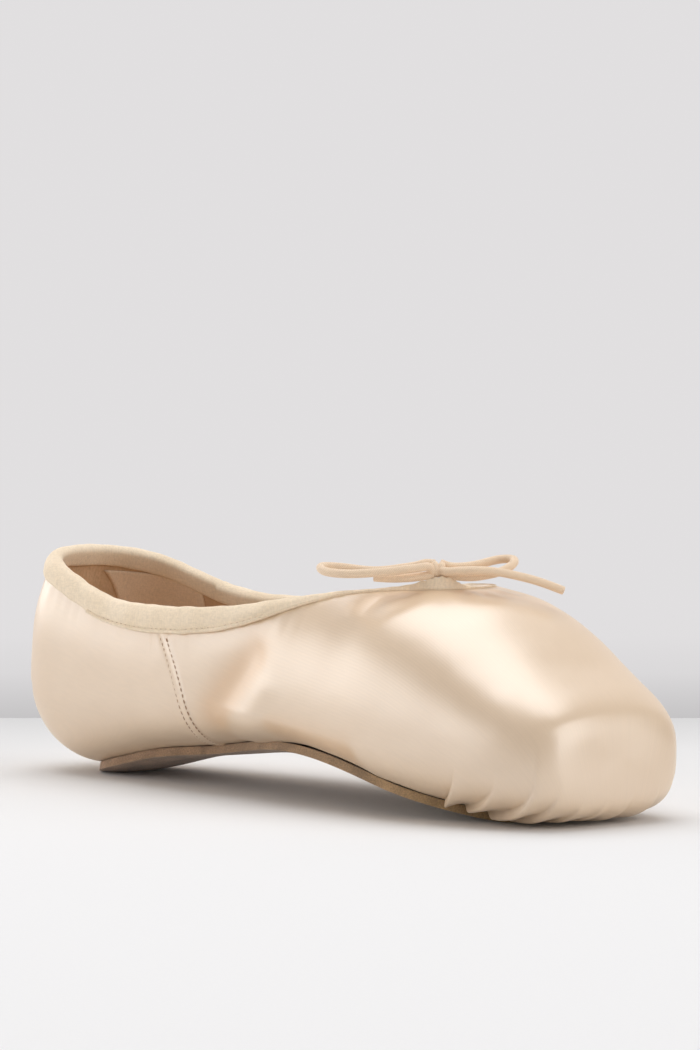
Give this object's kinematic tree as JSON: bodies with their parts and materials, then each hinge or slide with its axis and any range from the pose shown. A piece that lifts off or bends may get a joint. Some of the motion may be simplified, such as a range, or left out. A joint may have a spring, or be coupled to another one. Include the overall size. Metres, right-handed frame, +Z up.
{
  "type": "pointe shoe",
  "caption": "Satin ballet pointe shoe with a boxed toe and flat platform, a bound low collar with a drawstring bow, and a narrow leather sole that follows the arch.",
  "frame": {"origin": "on the floor under the middle of the shoe", "axes": "+X towards the toe platform, +Y to the shoe's left, +Z up"},
  "size_m": [0.228, 0.0758, 0.0673],
  "materials": {
    "satin": "glossy satin weave",
    "leather": "matt, napped",
    "board": "matt cotton over board",
    "binding": "soft cotton casing",
    "cord": "elastic cord"
  },
  "bodies": {
    "root": {"outsole": "leather", "upper": "satin", "insole": "board", "collar_binding": "binding", "drawstring_knot": "cord", "drawstring_loop_left": "cord", "drawstring_loop_right": "cord", "drawstring_end_left": "cord", "drawstring_end_right": "cord"}
  },
  "joints": []
}
